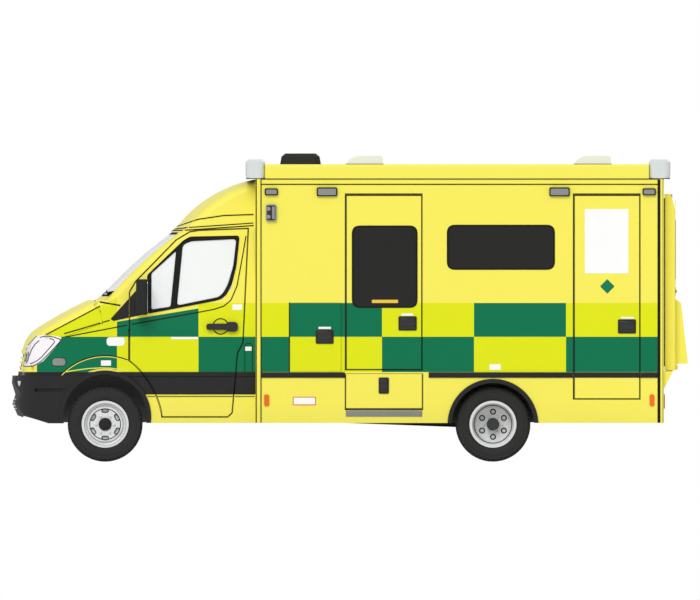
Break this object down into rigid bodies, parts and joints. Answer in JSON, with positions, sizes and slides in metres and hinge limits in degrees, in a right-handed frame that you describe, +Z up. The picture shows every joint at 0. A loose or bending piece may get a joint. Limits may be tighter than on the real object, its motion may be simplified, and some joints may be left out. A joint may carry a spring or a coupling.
{
  "type": "box body ambulance",
  "caption": "Emergency ambulance: van cab and chassis with a tall box body, hinged doors and lockers, steering, free wheels, roof light bars and a chequered livery.",
  "frame": {"origin": "on the ground under the middle of the overall length and width", "axes": "+X forward, +Y to the vehicle's left, +Z up"},
  "size_m": [6.39, 2.426, 2.9129],
  "materials": {
    "body_paint": "gloss pale yellow",
    "box_paint": "gloss pale yellow panels",
    "dark_plastic": "black moulded plastic",
    "interior_plastic": "grained dark grey",
    "floor_covering": "slip resistant grey",
    "privacy_glass": "dark tinted",
    "cab_glass": "tinted",
    "tyre": "matt rubber",
    "wheel_paint": "satin light grey",
    "chassis_paint": "satin black",
    "cast_metal": "rough cast",
    "bare_steel": "machined steel",
    "lamp_clear": "clear lens",
    "headlamp_clear": "clear lens",
    "lamp_amber": "amber lens",
    "lamp_red": "red lens",
    "white_plastic": "white moulding",
    "seat_fabric": "dark woven cloth",
    "hinge_metal": "anodised"
  },
  "bodies": {
    "chassis": {"box_floor": "floor_covering", "box_front_wall": "box_paint", "box_left_wall": "box_paint", "box_rear_frame": "box_paint", "box_right_wall": "box_paint", "box_roof": "box_paint", "box_windows": "privacy_glass", "cab_floor": "floor_covering", "cab_frame": "body_paint", "cab_roof": "body_paint", "cab_seats": "seat_fabric", "chassis_frame": "chassis_paint", "dashboard": "interior_plastic", "engine": "cast_metal", "front_bumper": "dark_plastic", "front_suspension": "chassis_paint", "front_wings": "body_paint", "grille": "dark_plastic", "headlamps": "headlamp_clear", "hinge_pins": "hinge_metal", "light_bars": "lamp_clear", "marker_lamps": "lamp_amber", "rear_axle": "chassis_paint", "rear_lamps": "lamp_red", "roof_dome": "dark_plastic", "roof_vents": "white_plastic", "side_lamps": "lamp_clear", "side_inlet": "interior_plastic", "fuel_tank": "dark_plastic", "exhaust": "bare_steel", "wheel_arch_flares": "dark_plastic", "windscreen": "cab_glass"},
    "steer_left": {"front_knuckle_left": "cast_metal"},
    "steer_right": {"front_knuckle_right": "cast_metal"},
    "wheel_front_left": {"front_left_rim": "wheel_paint", "front_left_tyre": "tyre"},
    "wheel_front_right": {"front_right_rim": "wheel_paint", "front_right_tyre": "tyre"},
    "wheels_rear_left": {"rear_left_rims": "wheel_paint", "rear_left_tyres": "tyre"},
    "wheels_rear_right": {"rear_right_rims": "wheel_paint", "rear_right_tyres": "tyre"},
    "left_cab_door": {"cab_door_left": "body_paint", "cab_door_left_glass": "cab_glass", "cab_mirror_left": "dark_plastic"},
    "right_cab_door": {"cab_door_right": "body_paint", "cab_door_right_glass": "cab_glass", "cab_mirror_right": "dark_plastic"},
    "bonnet_lid": {"bonnet": "body_paint"},
    "saloon_side_door": {"side_door": "box_paint", "side_door_glass": "privacy_glass"},
    "front_locker": {"front_locker_door": "box_paint"},
    "rear_locker": {"rear_locker_door": "box_paint"},
    "step_well_flap": {"step_flap": "box_paint"},
    "left_rear_door": {"rear_door_left": "box_paint", "rear_door_left_glass": "privacy_glass"},
    "right_rear_door": {"rear_door_right": "box_paint", "rear_door_right_glass": "privacy_glass"}
  },
  "joints": [
    {"name": "left_steering", "type": "hinge", "parent": "chassis", "child": "steer_left", "pos_m": [2.313, 0.735, 0.354], "axis": [0, 0, 1], "range_deg": [-35, 35]},
    {"name": "right_steering", "type": "hinge", "parent": "chassis", "child": "steer_right", "pos_m": [2.313, -0.735, 0.354], "axis": [0, 0, 1], "range_deg": [-35, 35]},
    {"name": "front_left_spin", "type": "hinge", "parent": "steer_left", "child": "wheel_front_left", "pos_m": [2.313, 0.868, 0.354], "axis": [0, 1, 0], "continuous": true},
    {"name": "front_right_spin", "type": "hinge", "parent": "steer_right", "child": "wheel_front_right", "pos_m": [2.313, -0.868, 0.354], "axis": [0, 1, 0], "continuous": true},
    {"name": "rear_left_spin", "type": "hinge", "parent": "chassis", "child": "wheels_rear_left", "pos_m": [-1.352, 0.8125, 0.354], "axis": [0, 1, 0], "continuous": true},
    {"name": "rear_right_spin", "type": "hinge", "parent": "chassis", "child": "wheels_rear_right", "pos_m": [-1.352, -0.8125, 0.354], "axis": [0, 1, 0], "continuous": true},
    {"name": "left_cab_door_hinge", "type": "hinge", "parent": "chassis", "child": "left_cab_door", "pos_m": [2.0897, 0.996, 1.1], "axis": [0, 0, -1], "range_deg": [0, 70]},
    {"name": "right_cab_door_hinge", "type": "hinge", "parent": "chassis", "child": "right_cab_door", "pos_m": [2.0897, -0.996, 1.1], "axis": [0, 0, 1], "range_deg": [0, 70]},
    {"name": "bonnet_hinge", "type": "hinge", "parent": "chassis", "child": "bonnet_lid", "pos_m": [2.4103, 0, 1.526], "axis": [0, -1, 0], "range_deg": [0, 55]},
    {"name": "side_door_hinge", "type": "hinge", "parent": "chassis", "child": "saloon_side_door", "pos_m": [0.0427, 1.09, 1.7], "axis": [0, 0, -1], "range_deg": [0, 90]},
    {"name": "front_locker_hinge", "type": "hinge", "parent": "chassis", "child": "front_locker", "pos_m": [0.5717, 1.09, 1.165], "axis": [0, 0, -1], "range_deg": [0, 90]},
    {"name": "rear_locker_hinge", "type": "hinge", "parent": "chassis", "child": "rear_locker", "pos_m": [-2.1123, 1.09, 1.561], "axis": [0, 0, -1], "range_deg": [0, 90]},
    {"name": "step_flap_hinge", "type": "hinge", "parent": "chassis", "child": "step_well_flap", "pos_m": [-0.322, 1.09, 0.4923], "axis": [-1, 0, 0], "range_deg": [0, 90]},
    {"name": "left_rear_door_hinge", "type": "hinge", "parent": "chassis", "child": "left_rear_door", "pos_m": [-2.9723, 0.9407, 1.696], "axis": [0, 0, -1], "range_deg": [0, 90]},
    {"name": "right_rear_door_hinge", "type": "hinge", "parent": "chassis", "child": "right_rear_door", "pos_m": [-2.9723, -0.9407, 1.696], "axis": [0, 0, 1], "range_deg": [0, 90]}
  ],
  "couplings": [
    {"joint": "right_steering", "follows": "left_steering", "ratio": 1}
  ]
}
